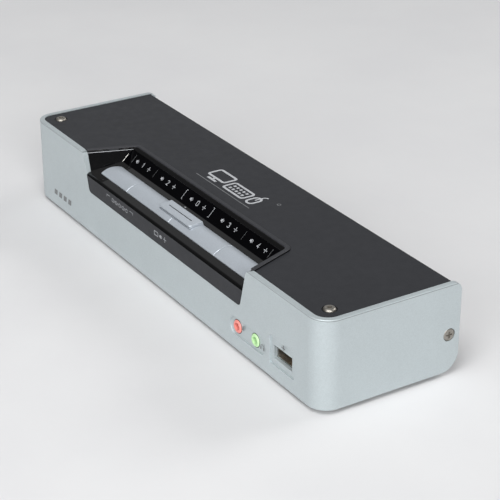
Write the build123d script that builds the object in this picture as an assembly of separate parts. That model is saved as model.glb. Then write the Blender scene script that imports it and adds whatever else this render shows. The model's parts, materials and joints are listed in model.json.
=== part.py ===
from build123d import *
import os
from math import cos, radians, sin, tan

# A four-port desktop KVM switch. +X runs right as seen from the front, +Y runs to the back, +Z is up.
# The origin is on the table, under the middle of the case. Every size is in millimetres.

# ---- Case ----
length = 270.0  # over the silver shell's two ends
depth = 72.6  # front face to the back edges of the end flaps
shell_height = 43.0
foot_reveal = 2.0  # gap between the table and the shell's lower edge
wall = 2.5  # silver shell
front_corner = 9.3  # outside radius of the two upright front corners
flap_top_corner = 4.5  # end flaps, upper back corner
flap_low_corner = 9.0  # end flaps, lower back corner
edge_break = 0.45  # small rounds along the shell's long edges
fit = 0.1  # gap between fixed pieces that slide together
sheet = 1.0  # steel tray and rear panel
tray_flange = 5.0  # ledges under the cover's two ends
panel_foot = 8.0  # rear panel's foot on the tray

# ---- Top cover ----
cover_drop = 0.5  # cover below the shell's upper edge
cover_thickness = 1.6
flap_reach = 3.7  # how far the end flaps run behind the cover
panel_inset = 1.6  # rear panel ahead of the cover's back edge
collar_proud = 0.4  # collar above the shell's upper edge
collar_width = 2.2
collar_height = 1.4
collar_round = 3.0  # plan radius of the collar's back corners
shoulder_drop = 0.4  # slope above the window, below the collar's top
shoulder_set_in = 0.3

# ---- Key channel ----
nose_setback = 1.4  # front edge of the deck, back from the front face
window_drop = 1.14  # window's upper edge below the shell's upper edge
deck_tilt = 12.7  # degrees, rising to the back
key_to_window = 3.1  # along the slope, back of the keys to the window's foot
deck_thickness = 2.0
deck_wall = 1.8  # end walls and the wall behind the window
nose_radius = 2.1  # rounded front edge of the deck
window_tilt = 44.5  # degrees from level
window_length = 8.0  # up the slope
window_thickness = 1.5
channel_half = 70.0  # half width, on the line ahead of the window's upper edge
window_tuck = 0.58  # that line, ahead of the window's upper edge
channel_rim = 2.9  # collar's inner back edge, behind that line
flare_angle = 20.0  # the ends open out to the front by this much in plan
draft_angle = 14.6  # and lean out upwards by this much
notch_inset = 1.0  # shell notch inside the channel's end walls
notch_low_round = 2.5
notch_top_round = 4.0
nose_rise = 1.05  # lip's top up to the deck's front edge
lip_height = 8.5  # grey lip, down to the notch's lower edge
lip_flange = 1.5
lip_overlap = 2.0

# ---- Keys ----
key_front = 3.9  # from the deck's front edge, along the slope
key_width = 10.3  # across the row
key_edge_rise = 0.2  # barrel edge above the deck
key_crown = 1.55  # barrel crest above the deck
key_wall = 1.3
key_end_gap = 5.5  # end walls to the outer key ends
key_split = 41.5  # centre line to the outer seams
key_seam = 0.3
key_clearance = 0.3
key_ledge = 0.8
key_end_round = 0.3  # round along each end of a barrel
key_play = 0.15  # ledge below the deck's underside
post_diameter = 4.0
key_travel = 0.8
mode_centre = 1.3
mode_length = 29.0
mode_front = 6.95
mode_front_rise = 3.1
mode_back_rise = 2.3
mode_skin = 0.8
mode_corner = 1.5  # plan radius of its two front corners
mode_lip = 0.35
mode_slot = 0.5
groove_length = 21.4
groove_width = 0.6
groove_depth = 0.3
key_centres = {"key_1": -55.0, "key_2": -28.0, "key_3": 30.0, "key_4": 55.0, "mode_key": mode_centre}

# ---- Key board and its switches, measured down from the deck's surface ----
key_board_drop = 9.5
board_thickness = 1.6
switch_side = 6.0
switch_height = 3.5
plunger_diameter = 3.4
plunger_gap = 0.05
plunger_rise = 1.4  # above the switch housing
plunger_depth = 1.7  # inside it
deck_boss_diameter = 4.0
deck_boss_row = (-62.0, -14.0, 14.0, 62.0)  # bosses behind the key row
deck_boss_end_out = 1.4  # bosses beyond its two ends, out from the channel's half width
deck_boss_end_along = 8.0
deck_boss_root = 0.4  # how far the bosses reach into the deck

# ---- Window lights ----
light_row = 4.2  # up the window's slope from its foot
light_pitch = 5.85
light_group_places = (-53.8, -28.5, 0.0, 28.5, 53.8)
pipe_diameter = 2.4
pipe_clearance = 0.1
led_side = 1.8
led_height = 1.0
pipe_length = 3.6

# ---- Inside ----
standoff_height = 6.0
standoff_columns = (-112.0, -12.0, 94.0)
standoff_inset = 4.0
main_board_post_gap = 2.9
main_board_front_gap = 1.2
main_board_back_gap = 1.4
port_board_gap = 4.7  # above the DVI sockets
port_board_depth = 20.0
pillar_diameter = 6.0
pillar_places = (-104.0, -74.5, 54.5, 114.0)
pillar_inset = 3.5
post_inset = 10.1  # cover screw, in from the shell's end
post_setback = 10.9  # cover screw, back from the front face
cover_post_diameter = 6.0
foot_diameter = 12.0
foot_inset_x = 20.0
foot_inset_y = 13.0
foot_bevel = 0.6

# ---- Chips and other parts on the main board; rows are back from its front edge ----
chip_row = 28.6
chip_bevel = 0.3
switch_chip = (14.0, 1.4)  # side, thickness
switch_chip_places = (-90.0, -60.0, 40.0, 70.0)
small_row = 10.6
controller = (12.0, 1.2)
controller_place = -40.0
can_diameter = 6.0
can_height = 8.0
can_round = 0.5
can_places = (-104.0, -95.0, -86.0, 28.0, 56.0)
crystal_size = (11.0, 4.6, 3.4)
crystal_place = -62.0
beeper_diameter = 12.0
beeper_height = 7.0
beeper_hole = 2.0
beeper_place = 42.0
link_plug = (30.0, 5.0, 6.0)
link_strip = (25.0, 0.8)
link_along = 11.5  # under the key board, from the deck's front edge

# ---- Front ports ----
jack_diameter = 6.15
jack_bore = 3.6
jack_bore_depth = 13.0
jack_bevel = 0.4
jack_body = (8.4, 12.0, 5.0)
mic_place = 69.9
phone_place = 84.6
jack_recess = (64.1, 93.5, 4.5, 0.6)  # left, right, end radius, depth
usb_place = 106.05
usb_stand = 0.9  # socket above the main board
usb_cut = (14.2, 6.6)
usb_recess = (18.6, 13.6, 0.7)
usb_recess_rise = 0.55  # recess above the socket's middle
usb_shell = (13.9, 14.0, 6.3)
usb_metal = 0.4
usb_tongue = (11.1, 8.6, 1.8)
usb_tongue_rise = 0.3
usb_leg = (3.0, 6.0)  # from the socket's face

# ---- Rear ports ----
dvi_places = (-96.0, -53.0, -10.0, 33.0, 76.0)
dvi_rim = (26.0, 9.6)
dvi_rim_reach = 4.6
dvi_rim_round = 1.6
dvi_metal = 0.6
dvi_flange = 1.0
dvi_body = (37.0, 12.0, 11.6)
dvi_insulator_gap = 0.6
dvi_insulator_drop = 0.8  # behind the rim
dvi_pin_pitch = 1.9
dvi_pin_first = -10.2
dvi_pin_hole = 1.0
dvi_hole_depth = 4.0
dvi_earth_place = 8.2
dvi_earth_slot = (5.4, 4.6, 0.8)  # across, up, thickness
dvi_screw_pitch = 33.3
dvi_screw_flats = 4.8
dvi_screw_reach = 4.4
dvi_screw_shank = 8.0
dvi_screw_bore = 2.6
dvi_screw_bore_depth = 3.0
usb_b_shell = (12.0, 14.0, 11.2)
usb_b_metal = 0.5
usb_b_lining = 1.2
usb_b_back = 1.5
usb_b_slants = (2.4, 3.0)  # sloped upper corners, across and down
usb_b_block = (5.6, 8.0, 3.2)
usb_b_shift = -13.0
rear_jack_body = (8.4, 12.0, 7.0)
rear_mic_shift = 2.0
rear_speaker_shift = 12.5
console_usb_shifts = (-11.0, 6.0)
console_jack_places = (100.0, 110.5)
power_place = 108.0
power_body = (9.0, 12.0, 11.0)
power_bore = 6.3
power_bore_depth = 9.0
power_pin = 2.0
power_barrel = 8.0
power_pin_drop = 1.5  # behind the jack's face
port_reach = 1.2  # USB and jacks proud of the rear panel
port_gap = 0.2  # around a USB socket in the rear panel

# ---- Fasteners ----
hex_head = (5.7, 1.7)
hex_head_edge = 0.5
cover_screw_reach = 10.0
bottom_screw_inset = 4.0
bottom_screw_reach = 1.8  # past the tray
hex_socket = 2.0
hex_socket_depth = 1.1
screw_shank = 3.0
counterbore_gap = 0.5
side_head = (6.0, 1.0)
side_head_edge = 0.4
side_screw_back = 5.8  # in from the flaps' back edges
side_screw_height = 20.5
cross_slot = (3.2, 0.7, 0.7)
small_head = (5.0, 1.2)
board_head = (4.6, 1.4)
board_shank = 2.5

# ---- Places that follow from the sizes above ----
half_length = length / 2
front_y = -depth / 2
back_y = depth / 2
inner_front = front_y + wall
shell_top = foot_reveal + shell_height
cover_top = shell_top - cover_drop
cover_low = cover_top - cover_thickness
cover_back = back_y - flap_reach
panel_y = cover_back - panel_inset
tray_low = foot_reveal + 0.5
tray_top = tray_low + sheet
tray_half = half_length - wall - fit
board_low = tray_top + standoff_height
board_top = board_low + board_thickness
board_front = inner_front + main_board_front_gap
board_back = panel_y - sheet - main_board_back_gap
main_board_half = half_length - post_inset - cover_post_diameter / 2 - main_board_post_gap
port_board_low = board_top + dvi_body[2] + port_board_gap
port_board_top = port_board_low + board_thickness
jack_height = board_top + jack_body[2] / 2
usb_height = board_top + usb_stand + usb_shell[2] / 2
deck_length = key_front + key_width + key_to_window
slopes_reach = deck_length * cos(radians(deck_tilt)) + window_length * cos(radians(window_tilt))
slopes_rise = deck_length * sin(radians(deck_tilt)) + window_length * sin(radians(window_tilt))
channel_depth = window_drop + slopes_rise
deck_front_y = front_y + nose_setback
deck_front_z = shell_top - channel_depth
lip_top = deck_front_z - nose_rise
notch_low = lip_top - lip_height
channel_back_y = deck_front_y + slopes_reach - window_tuck
flare = tan(radians(flare_angle))
draft = tan(radians(draft_angle))
key_back = key_front + key_width
key_mid = key_front + key_width / 2
key_skirt = -(deck_thickness + key_play + key_ledge)
switch_top = -key_board_drop + switch_height
plunger_top = switch_top + plunger_rise
far = 3 * length  # longer than anything it cuts

BACK = (Align.CENTER, Align.MAX, Align.CENTER)
AHEAD = (Align.CENTER, Align.MIN, Align.CENTER)
UP = (Align.CENTER, Align.CENTER, Align.MIN)
DOWN = (Align.CENTER, Align.CENTER, Align.MAX)


def slope_point(y, z, tilt, along, above):
    """A point in the side view, along a slope that starts at (y, z) and square off its face."""
    angle = radians(tilt)
    return (
        y + along * cos(angle) - above * sin(angle),
        z + along * sin(angle) + above * cos(angle),
    )


def deck_point(along, above=0.0):
    return slope_point(deck_front_y, deck_front_z, deck_tilt, along, above)


window_foot = deck_point(deck_length)


def window_point(along, above=0.0):
    return slope_point(*window_foot, window_tilt, along, above)


def slope_plane(point, tilt):
    angle = radians(tilt)
    return Plane(origin=(0, *point), x_dir=(1, 0, 0), z_dir=(0, -sin(angle), cos(angle)))


deck_plane = slope_plane((deck_front_y, deck_front_z), deck_tilt)
window_plane = slope_plane(window_foot, window_tilt)


def box_between(low, high):
    """A box given by its lowest and highest corners."""
    size = [b - a for a, b in zip(low, high)]
    middle = [(a + b) / 2 for a, b in zip(low, high)]
    return Pos(*middle) * Box(*size)


def side_profile(points, half=far / 2):
    """A closed outline in the side view, drawn out to both sides along X."""
    return extrude(Plane.YZ * Polygon(*points, align=None), half, both=True)


def rod_y(diameter, reach, align=AHEAD):
    """A round bar along Y from the origin, to the back or with BACK to the front."""
    turn = -90 if align is AHEAD else 90
    return Rot(turn, 0, 0) * Cylinder(diameter / 2, reach, align=UP)


def side_x(y, z, offset=0.0):
    """Half width of the key channel at a place, which flares forwards and upwards."""
    return channel_half + (channel_back_y - y) * flare + (z - shell_top) * draft + offset


def between_sides(offset):
    """The space between the channel's two leaning end planes, moved outwards by offset."""
    space = Box(far, far, far)
    for side in (-1, 1):
        foot = (side * (channel_half + offset), channel_back_y, shell_top)
        space -= Plane(origin=foot, z_dir=(side, flare, -draft)) * Box(2 * far, 2 * far, far, align=UP)
    return space


def notch_outline(gap):
    """The shell's notch seen from the front, with its corners, made smaller by gap."""
    inset = notch_inset + gap
    low_half = side_x(front_y, notch_low) - inset
    top_half = side_x(front_y, shell_top) - inset
    low = notch_low + gap
    high = shell_top + channel_depth
    wide = top_half + 3 * notch_top_round
    outline = Polygon(
        (-low_half, low), (low_half, low), (top_half, shell_top), (wide, shell_top),
        (wide, high), (-wide, high), (-wide, shell_top), (-top_half, shell_top), align=None,
    )
    low_corners = outline.vertices().filter_by_position(Axis.Y, low - 0.01, low + 0.01)
    outline = fillet(low_corners, notch_low_round)
    top_corners = [v for v in outline.vertices() if abs(v.Y - shell_top) < 0.01 and abs(v.X) < wide - 0.1]
    return fillet(top_corners, notch_top_round)


def notch_prism(gap=0.0):
    return extrude(Plane.XZ * notch_outline(gap), far / 2, both=True)


def round_shell(inset, low, high, back):
    """A block with the case's plan: square at the back, rounded at the two front corners."""
    block = box_between(
        (-half_length + inset, front_y + inset, low), (half_length - inset, back, high)
    )
    front_edges = block.edges().filter_by(Axis.Z).group_by(Axis.Y)[0]
    return fillet(front_edges, front_corner - inset)


# ---- Case pieces ----
def make_front_shell():
    shell = round_shell(0, foot_reveal, shell_top, back_y)
    back_edges = shell.edges().filter_by(Axis.X).group_by(Axis.Y)[-1]
    shell = fillet(back_edges.group_by(Axis.Z)[0], flap_low_corner)
    back_edges = shell.edges().filter_by(Axis.X).group_by(Axis.Z)[-1]
    shell = fillet(back_edges.group_by(Axis.Y)[-1], flap_top_corner)
    rim = shell.faces().sort_by(Axis.Z)[-1].edges() + shell.faces().sort_by(Axis.Z)[0].edges()
    shell = fillet([e for e in rim if e.center().Y < back_y - flap_low_corner - 1], edge_break)
    shell -= round_shell(wall, foot_reveal - 1, shell_top + 1, back_y + 1)
    shell -= notch_prism() & box_between((-far, front_y - 1, 0), (far, inner_front + 1, far))
    shell -= front_port_cuts()
    hole = Cylinder(screw_shank / 2 + fit, 4 * wall) + Cylinder(side_head[0] / 2 + fit, 2 * side_head[1])
    for side in (-1, 1):
        place = Pos(side * half_length, back_y - side_screw_back, side_screw_height)
        shell -= place * Rot(0, 90, 0) * hole
    return shell


def front_port_cuts():
    """Recesses and holes in the shell for the two jacks and the USB socket."""
    left, right, radius, recess = jack_recess
    cuts = box_between(
        (left + radius, front_y - 1, jack_height - radius),
        (right - radius, front_y + recess, jack_height + radius),
    )
    for x in (left + radius, right - radius):
        cuts += Pos(x, front_y - 1, jack_height) * rod_y(2 * radius, recess + 1)
    for x in (mic_place, phone_place):
        cuts += Pos(x, front_y, jack_height) * Rot(90, 0, 0) * Cylinder(jack_diameter / 2 + fit, 3 * wall)
    wide, tall, deep = usb_recess
    middle = usb_height + usb_recess_rise
    cuts += box_between(
        (usb_place - wide / 2, front_y - 1, middle - tall / 2),
        (usb_place + wide / 2, front_y + deep, middle + tall / 2),
    )
    cuts += Pos(usb_place, front_y, usb_height) * Box(usb_cut[0], 3 * wall, usb_cut[1])
    return cuts


def make_top_cover():
    cover = round_shell(wall + fit, cover_low, cover_top, cover_back)
    cover -= collar_plan(collar_width + fit, cover_low - 1, cover_top + 1)
    for side in (-1, 1):
        x = side * (half_length - post_inset)
        hole = Cylinder(screw_shank / 2 + fit, 4 * cover_thickness)
        hole += Cylinder(hex_head[0] / 2 + counterbore_gap, cover_thickness, align=UP)
        cover -= Pos(x, front_y + post_setback, cover_top - cover_thickness / 2) * hole
    return cover


def make_base_tray():
    tray = round_shell(wall + fit, tray_low, tray_top, panel_y)
    for side in (-1, 1):
        outer = side * tray_half
        tray += box_between(
            (min(outer, outer - side * sheet), front_y + front_corner + wall, tray_low),
            (max(outer, outer - side * sheet), panel_y, cover_low),
        )
        tray += box_between(
            (min(outer, outer - side * tray_flange), front_y + front_corner + wall, cover_low - sheet),
            (max(outer, outer - side * tray_flange), panel_y - 2 * sheet, cover_low),
        )
        hole = Rot(0, 90, 0) * Cylinder(screw_shank / 2, 6 * sheet)
        tray -= Pos(outer, back_y - side_screw_back, side_screw_height) * hole
    for x, y in bottom_screw_places():
        tray -= Pos(x, y, tray_low) * Cylinder(screw_shank / 2 + fit, 4 * sheet)
    return tray


def bottom_screw_places():
    """Two screws up into the cover posts, two into the rear panel's foot."""
    front = front_y + post_setback
    back = panel_y - sheet - bottom_screw_inset
    return [(side * (half_length - post_inset), y) for y in (front, back) for side in (-1, 1)]


def make_cover_posts():
    posts = []
    for x, y in bottom_screw_places()[:2]:
        post = extrude(RegularPolygon(cover_post_diameter / 2, 6), cover_low - tray_top)
        post -= Cylinder(screw_shank / 2, far)
        posts.append(Pos(x, y, tray_top) * post)
    return Compound(posts)


def make_rubber_feet():
    foot = Cylinder(foot_diameter / 2, tray_low, align=UP)
    foot = chamfer(foot.edges().group_by(Axis.Z)[0], foot_bevel)
    places = [(x, y) for x in (-1, 1) for y in (-1, 1)]
    return Compound(
        [Pos(x * (half_length - foot_inset_x), y * (depth / 2 - foot_inset_y), 0) * foot for x, y in places]
    )


# ---- Key channel pieces ----
def collar_plan(offset, low, high):
    """The channel's plan at the collar, moved outwards by offset and open at the front."""
    back = channel_back_y + channel_rim + offset
    wide = side_x(back, shell_top, offset / cos(radians(flare_angle)))
    front_wide = side_x(front_y, shell_top, offset / cos(radians(flare_angle)))
    outline = Polygon((-wide, back), (wide, back), (front_wide, front_y), (-front_wide, front_y), align=None)
    back_corners = outline.vertices().group_by(Axis.Y)[-1]
    outline = fillet(back_corners, collar_round + offset / 2)
    return Pos(0, 0, low) * extrude(outline, high - low, dir=(0, 0, 1))


def make_collar():
    high = shell_top + collar_proud
    low = high - collar_height
    collar = collar_plan(collar_width, low, high) - collar_plan(0, low - 1, high + 1)
    top_edges = collar.faces().sort_by(Axis.Z)[-1].edges()
    collar = fillet([e for e in top_edges if e.center().Y > inner_front], edge_break)
    window_top = window_point(window_length)
    back = channel_back_y + channel_rim
    shoulder_top = high - shoulder_drop
    shoulder = side_profile([
        (window_top[0], low), (back - shoulder_set_in, shoulder_top),
        (back + 1, shoulder_top), (back + 1, low),
    ])
    collar += shoulder & between_sides(collar_width / 4) & collar_plan(collar_width / 2, low, high)
    return collar - box_between((-far, front_y - 1, 0), (far, inner_front + fit, far))


def channel_space():
    """The open key channel down to the deck and to the seat behind the window."""
    seat_foot = window_point(0, -window_thickness)
    seat_top = window_point(window_length + 2 * deck_wall, -window_thickness)
    points = [
        (front_y - wall, lip_top), (front_y, lip_top), deck_point(0), window_foot, seat_foot,
        seat_top, (seat_top[0], far), (front_y - wall, far),
    ]
    return side_profile(points) & between_sides(0)


def deck_nose():
    """The band of deck that shows through the notch, with its rounded front edge."""
    start = (front_y, lip_top)
    arc = RadiusArc(start, deck_point(0), nose_radius)
    under = (inner_front + lip_flange + fit, lip_top)
    rest = Polyline(deck_point(0), deck_point(key_front / 2), under, start)
    section = make_face(Curve() + [arc, rest])
    return extrude(Plane.YZ * section, far / 2, both=True) & between_sides(deck_wall)


def make_key_deck():
    high = shell_top + collar_proud - collar_height
    back_low = window_point(0, -window_thickness - deck_wall)
    back_high = window_point(window_length + 2 * deck_wall, -window_thickness - deck_wall)
    under = deck_point(deck_length, -deck_thickness)
    envelope = side_profile([
        (inner_front + fit, lip_top), deck_point(3, -deck_thickness), under, back_low,
        back_high, (back_high[0], far), (inner_front + fit, far),
    ])
    deck = (envelope & between_sides(deck_wall)) - channel_space() + deck_nose()
    panel = box_between((-far, -far, 0), (far, inner_front + fit, far))
    deck -= panel - notch_prism(fit)
    deck -= Pos(0, 0, high) * Box(far, far, far, align=UP)
    deck &= collar_plan(collar_width - fit, 0, shell_top) + panel
    slot = box_between(
        (-far, key_front - key_clearance, -2 * deck_thickness),
        (far, key_back + key_clearance, deck_thickness),
    )
    deck -= (deck_plane.location * slot) & between_sides(key_clearance + key_travel * draft - key_end_gap)
    for x in light_places():
        hole = Cylinder(pipe_diameter / 2 + pipe_clearance, 2 * (window_thickness + 2 * deck_wall))
        deck -= window_plane.location * Pos(x, light_row, 0) * hole
    return deck + deck_bosses()


def deck_bosses():
    """Posts under the deck that carry the key board, behind the key row and beyond its ends."""
    root = deck_thickness - deck_boss_root
    boss = Cylinder(deck_boss_diameter / 2, key_board_drop - root, align=DOWN)
    boss -= Pos(0, 0, root - key_board_drop) * Cylinder(board_shank / 2, key_board_drop)
    return [deck_plane.location * Pos(x, along, -root) * boss for x, along in boss_places()]


def boss_places():
    row_along = key_back + 2 * key_clearance + key_ledge + deck_boss_diameter / 2
    row = [(x, row_along) for x in deck_boss_row]
    end = channel_half + deck_boss_end_out
    return row + [(side * end, deck_boss_end_along) for side in (-1, 1)]


def make_display_window():
    gap = fit
    plate = box_between((-far, gap, -window_thickness), (far, window_length, 0))
    return (window_plane.location * plate) & between_sides(-gap)


def make_front_lip():
    """Grey lip that fills the foot of the notch, with a flange behind the shell."""
    face = notch_prism(fit) & box_between((-far, front_y, 0), (far, inner_front + fit, lip_top))
    flange_top = lip_top - lip_flange
    outline = notch_prism(-lip_overlap)
    flange = outline & box_between(
        (-far, inner_front + fit, 0), (far, inner_front + fit + lip_flange, flange_top)
    )
    return face + flange


# ---- Keys, drawn on the deck's slope: X across, Y up the slope, Z square off it ----
def barrel(front, back, crown, edge, low):
    """A bar along X with an arched top between its two long edges."""
    arc = ThreePointArc((front, edge), ((front + back) / 2, crown), (back, edge))
    rest = Polyline((back, edge), (back, low), (front, low), (front, edge))
    return extrude(Plane.YZ * make_face(Curve() + [arc, rest]), far / 2, both=True)


def mode_space(gap):
    half = mode_length / 2 + gap
    return box_between(
        (mode_centre - half, mode_front - gap, -far / 2), (mode_centre + half, key_back + far / 2, far / 2)
    )


def make_key(name, left, right):
    outer = barrel(key_front, key_back, key_crown, key_edge_rise, key_skirt)
    inner = barrel(
        key_front + key_wall, key_back - key_wall,
        key_crown - key_wall, key_edge_rise - key_wall, key_skirt - 1,
    )
    ends = deck_plane.location.inverse() * between_sides(-key_end_gap)
    inner_ends = deck_plane.location.inverse() * between_sides(-key_end_gap - 2 * key_wall)
    cap = outer & ends & box_between((left, -far, -far), (right, far, far))
    crown = cap.faces().sort_by(Axis.Z)[-1]
    cap = fillet([e for e in crown.edges() if e.geom_type != GeomType.LINE], key_end_round)
    cap -= inner & inner_ends & box_between((left + key_wall, -far, -far), (right - key_wall, far, far))
    front_ledge = (key_front - key_ledge, key_front + key_wall)
    back_ledge = (key_back - key_wall, key_back + key_ledge)
    for low, high in (front_ledge, back_ledge):
        ledge = box_between(
            (left + 2 * key_wall, low, key_skirt), (right - 2 * key_wall, high, key_skirt + key_ledge)
        )
        cap += ledge & inner_ends
    cap -= mode_space(key_clearance)
    cap += key_post(key_centres[name], key_crown - key_wall / 2)
    return deck_plane.location * cap


def key_post(x, top):
    return Pos(x, key_mid, plunger_top) * Cylinder(post_diameter / 2, top - plunger_top, align=UP)


def make_mode_key():
    half = mode_length / 2
    back = key_back
    top = Plane.YZ * Polygon(
        (mode_front, key_skirt), (mode_front, mode_front_rise), (back, mode_back_rise), (back, key_skirt),
        align=None,
    )
    bar = extrude(top, half, both=True)
    bar = fillet(bar.edges().filter_by(Axis.Z).group_by(Axis.Y)[0], mode_corner)
    bar = fillet(bar.faces().sort_by(Axis.Z)[-1].edges(), mode_skin / 2)
    hollow = box_between(
        (-half + key_wall, mode_front + key_wall, key_skirt - 1),
        (half - key_wall, back - key_wall, key_edge_rise),
    )
    bar -= hollow
    bar -= box_between(
        (-far, mode_front - 1, mode_front_rise - mode_skin - mode_slot),
        (far, mode_front + mode_lip, mode_front_rise - mode_skin),
    )
    slope = (mode_back_rise - mode_front_rise) / (back - mode_front)
    groove_y = (mode_front + back) / 2
    groove_z = mode_front_rise + slope * (groove_y - mode_front)
    bar -= Pos(0, groove_y, groove_z) * Box(groove_length, groove_width, 2 * groove_depth)
    bar += box_between(
        (-half + key_wall, back - key_wall, key_skirt),
        (half - key_wall, back + key_ledge, key_skirt + key_ledge),
    )
    bar += key_post(0, key_crown)
    return deck_plane.location * Pos(mode_centre, 0, 0) * bar


def make_plunger(name):
    plunger = Cylinder(plunger_diameter / 2, plunger_rise + plunger_depth, align=UP)
    return deck_plane.location * Pos(key_centres[name], key_mid, switch_top - plunger_depth) * plunger


def make_key_switches():
    switches = []
    for x in key_centres.values():
        body = Box(switch_side, switch_side, switch_height, align=UP)
        body -= Pos(0, 0, switch_height) * Cylinder(
            plunger_diameter / 2 + plunger_gap, 2 * (plunger_depth + key_travel + plunger_gap)
        )
        switches.append(deck_plane.location * Pos(x, key_mid, -key_board_drop) * body)
    return Compound(switches)


def make_key_board():
    half = channel_half + deck_boss_end_out + deck_boss_diameter / 2
    back = boss_places()[0][1] + deck_boss_diameter / 2
    board = box_between(
        (-half, key_front, -key_board_drop - board_thickness), (half, back, -key_board_drop)
    )
    for x, along in boss_places():
        board -= Pos(x, along, -key_board_drop) * Cylinder(board_shank / 2 + fit, 4 * board_thickness)
    return deck_plane.location * board


def make_key_board_screws():
    screw = Cylinder(board_head[0] / 2, board_head[1], align=DOWN)
    screw -= Pos(0, 0, -board_head[1]) * cross_cut()
    screw += Cylinder(board_shank / 2 - fit, board_thickness + key_board_drop / 2, align=UP)
    low = -key_board_drop - board_thickness
    return Compound([deck_plane.location * Pos(x, along, low) * screw for x, along in boss_places()])


# ---- Lights behind the window ----
def light_places():
    """Each port's group is three lights: sound, number and hub."""
    return [x + step * light_pitch for x in light_group_places for step in (-1, 0, 1)]


def make_light_pipes():
    pipe = Cylinder(pipe_diameter / 2, pipe_length, align=DOWN)
    return Compound(
        [window_plane.location * Pos(x, light_row, -window_thickness) * pipe for x in light_places()]
    )


def make_window_leds():
    led = Box(led_side, led_side, led_height, align=DOWN)
    place = -window_thickness - pipe_length
    return Compound([window_plane.location * Pos(x, light_row, place) * led for x in light_places()])


def make_led_board():
    half = light_group_places[-1] + 2 * light_pitch
    top = -window_thickness - pipe_length - led_height
    board = box_between((-half, 0.6, top - board_thickness / 2), (half, window_length + 0.4, top))
    return window_plane.location * board


# ---- Front ports ----
def cross_cut():
    """The cross of a screwdriver slot, centred on the origin."""
    long, thin, deep = cross_slot
    return Box(long, thin, 2 * deep) + Box(thin, long, 2 * deep)


def make_jack(x, height, body, face_y, back_face):
    """A 3.5 mm socket whose body sits on its board and whose barrel passes through the panel."""
    wide, deep, tall = body
    toward = -1 if face_y < 0 else 1
    far_y = back_face - toward * deep
    block = box_between(
        (x - wide / 2, min(back_face, far_y), height - tall / 2),
        (x + wide / 2, max(back_face, far_y), height + tall / 2),
    )
    outward, inward = (BACK, AHEAD) if toward < 0 else (AHEAD, BACK)
    nose = Pos(x, back_face, height) * rod_y(jack_diameter, abs(face_y - back_face), outward)
    rims = nose.edges().filter_by(GeomType.CIRCLE).sort_by(Axis.Y)
    nose = chamfer(rims[0] if toward < 0 else rims[-1], jack_bevel)
    return block + nose - Pos(x, face_y, height) * rod_y(jack_bore, jack_bore_depth, inward)


def make_front_jack(x):
    return make_jack(x, jack_height, jack_body, front_y, inner_front + fit)


def usb_box(x, height, face_y, size, toward):
    """A metal USB-A tube open at its face; toward is -1 at the front of the case and 1 at the back."""
    wide, deep, tall = size
    far_y = face_y - toward * deep
    tube = box_between(
        (x - wide / 2, min(face_y, far_y), height - tall / 2),
        (x + wide / 2, max(face_y, far_y), height + tall / 2),
    )
    back = far_y + toward * usb_metal
    half_wide = wide / 2 - usb_metal
    half_tall = tall / 2 - usb_metal
    return tube - box_between(
        (x - half_wide, min(back, face_y + toward), height - half_tall),
        (x + half_wide, max(back, face_y + toward), height + half_tall),
    )


def usb_tongue_bar(x, height, face_y, size, toward):
    """The contact tongue in the upper half of a USB-A tube, standing on the tube's back wall."""
    wide, reach, thick = usb_tongue
    back = face_y - toward * (size[1] - usb_metal)
    tip = back + toward * reach
    low = height + usb_tongue_rise
    return box_between((x - wide / 2, min(back, tip), low), (x + wide / 2, max(back, tip), low + thick))


def make_front_usb_shell():
    tube = usb_box(usb_place, usb_height, inner_front + fit, usb_shell, -1)
    for side in (-1, 1):
        outer = usb_place + side * usb_shell[0] / 2
        inner = outer - side * usb_metal
        tube += box_between(
            (min(outer, inner), inner_front + fit + usb_leg[0], board_top),
            (max(outer, inner), inner_front + fit + usb_leg[1], usb_height),
        )
    return tube


def make_front_usb_tongue():
    return usb_tongue_bar(usb_place, usb_height, inner_front + fit, usb_shell, -1)


# ---- Boards and what stands on them ----
def standoff_places():
    rows = (board_front + standoff_inset, board_back - dvi_body[1] - standoff_inset)
    return [(x, y) for x in standoff_columns for y in rows]


def make_standoffs():
    post = Cylinder(cover_post_diameter / 2, standoff_height, align=UP) - Cylinder(board_shank / 2, far)
    return Compound([Pos(x, y, tray_top) * post for x, y in standoff_places()])


def make_main_board():
    board = box_between((-main_board_half, board_front, board_low), (main_board_half, board_back, board_top))
    for x, y in standoff_places():
        board -= Pos(x, y, board_low) * Cylinder(board_shank / 2 + fit, 4 * board_thickness)
    return board


def make_board_screws():
    screw = Cylinder(board_head[0] / 2, board_head[1], align=UP)
    screw -= Pos(0, 0, board_head[1]) * cross_cut()
    screw += Cylinder(board_shank / 2 - fit, board_thickness + standoff_height / 2, align=DOWN)
    return Compound([Pos(x, y, board_top) * screw for x, y in standoff_places()])


def make_port_board():
    half = main_board_half
    low_y = board_back - port_board_depth
    return box_between((-half, low_y, port_board_low), (half, board_back, port_board_top))


def make_board_pillars():
    """Plastic pillars that hold the port board above the main board."""
    pillar = extrude(RegularPolygon(pillar_diameter / 2, 6), port_board_low - board_top)
    y = board_back - port_board_depth + pillar_inset
    return Compound([Pos(x, y, board_top) * pillar for x in pillar_places])


def make_board_link():
    """A flat strip cable with its two plugs, up from the main board to the key board."""
    wide, deep, tall = link_plug
    strip_wide, thick = link_strip
    under = -key_board_drop - board_thickness
    y, high = deck_point(link_along, under - tall / 2)
    plug = Box(wide, deep, tall, align=UP)
    upper = deck_plane.location * Pos(0, link_along, under - tall) * plug
    strip = Pos(0, y, board_top) * Box(strip_wide, thick, high - board_top, align=UP)
    return upper + Pos(0, y, board_top) * plug + strip


def chip(x, row, side, thick):
    body = Pos(x, board_front + row, board_top) * Box(side, side, thick, align=UP)
    return chamfer(body.edges().group_by(Axis.Z)[-1], chip_bevel)


def make_switch_chips():
    return Compound([chip(x, chip_row, *switch_chip) for x in switch_chip_places])


def make_controller_chip():
    return chip(controller_place, small_row, *controller)


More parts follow.
